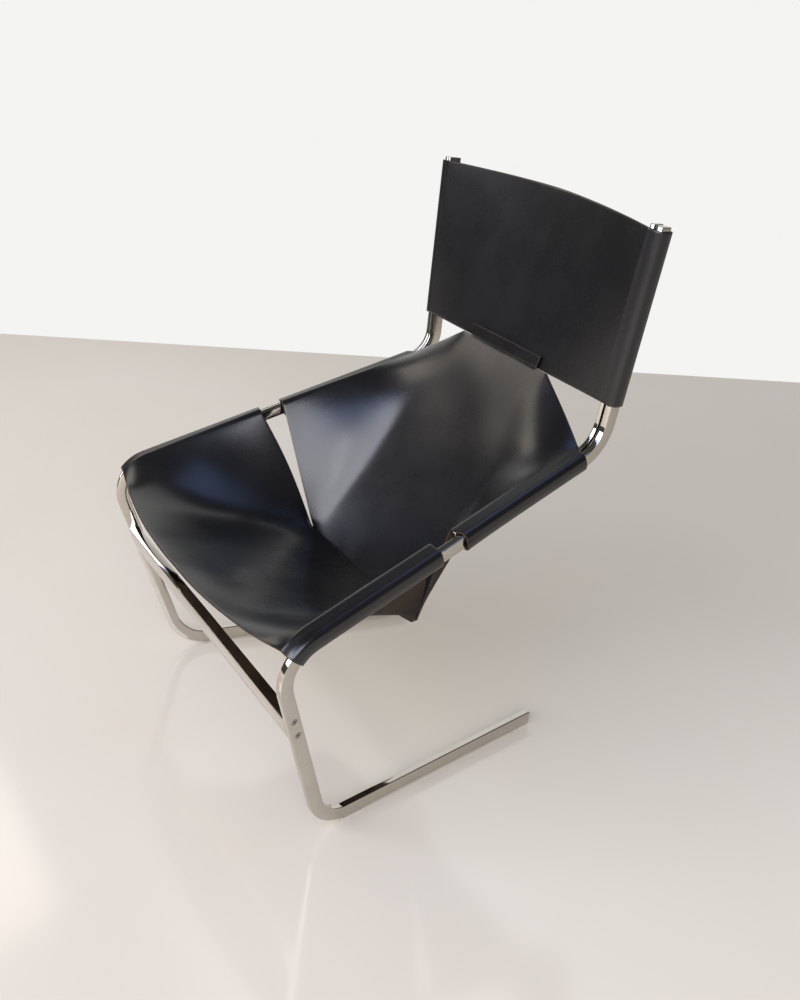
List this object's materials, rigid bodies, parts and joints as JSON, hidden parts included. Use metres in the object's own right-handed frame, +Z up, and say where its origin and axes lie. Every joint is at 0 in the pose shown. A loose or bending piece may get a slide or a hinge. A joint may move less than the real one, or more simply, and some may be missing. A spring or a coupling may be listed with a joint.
{
  "type": "cantilever lounge chair",
  "caption": "Cantilever lounge chair: bent flat-bar side frames, one front crossbar, and slung leather panels that form a V-shaped seat and a bowed back.",
  "frame": {"origin": "on the floor, under the middle of the bounding box", "axes": "+Z up, the sitter looks along -Y, +X is the sitter's left"},
  "size_m": [0.8138, 0.7808, 0.9719],
  "materials": {
    "polished_chrome": "mirror-polished chrome plate on steel flat bar, slightly hazed",
    "steel_screws": "bright countersunk socket screws",
    "blackened_rivets": "blackened tubular rivets",
    "clear_floor_pads": "pale translucent plastic",
    "black_saddle_leather": "thick black saddle leather, waxed satin grain side, raw brown edges and flesh side"
  },
  "bodies": {
    "root": {"back_joint_cover_strip": "black_saddle_leather", "back_joint_rivet_1": "blackened_rivets", "back_joint_rivet_2": "blackened_rivets", "back_joint_rivet_3": "blackened_rivets", "back_joint_rivet_4": "blackened_rivets", "back_panel": "black_saddle_leather", "front_crossbar": "polished_chrome", "front_seat_panel": "black_saddle_leather", "keel_rivet_1": "blackened_rivets", "keel_rivet_2": "blackened_rivets", "keel_rivet_3": "blackened_rivets", "keel_rivet_4": "blackened_rivets", "keel_rivet_5": "blackened_rivets", "left_back_clamp_bar": "polished_chrome", "left_back_clamp_screw_1": "steel_screws", "left_back_clamp_screw_2": "steel_screws", "left_back_clamp_screw_3": "steel_screws", "left_back_clamp_screw_4": "steel_screws", "left_back_clamp_screw_5": "steel_screws", "left_back_clamp_screw_6": "steel_screws", "left_crossbar_screw_1": "steel_screws", "left_crossbar_screw_2": "steel_screws", "left_front_floor_pad": "clear_floor_pads", "left_rear_floor_pad": "clear_floor_pads", "left_seat_clamp_bar": "polished_chrome", "left_seat_clamp_screw_1": "steel_screws", "left_seat_clamp_screw_2": "steel_screws", "left_seat_clamp_screw_3": "steel_screws", "left_side_frame": "polished_chrome", "rear_seat_panel": "black_saddle_leather", "right_back_clamp_bar": "polished_chrome", "right_back_clamp_screw_1": "steel_screws", "right_back_clamp_screw_2": "steel_screws", "right_back_clamp_screw_3": "steel_screws", "right_back_clamp_screw_4": "steel_screws", "right_back_clamp_screw_5": "steel_screws", "right_back_clamp_screw_6": "steel_screws", "right_crossbar_screw_1": "steel_screws", "right_crossbar_screw_2": "steel_screws", "right_front_floor_pad": "clear_floor_pads", "right_rear_floor_pad": "clear_floor_pads", "right_seat_clamp_bar": "polished_chrome", "right_seat_clamp_screw_1": "steel_screws", "right_seat_clamp_screw_2": "steel_screws", "right_seat_clamp_screw_3": "steel_screws", "right_side_frame": "polished_chrome"}
  },
  "joints": []
}
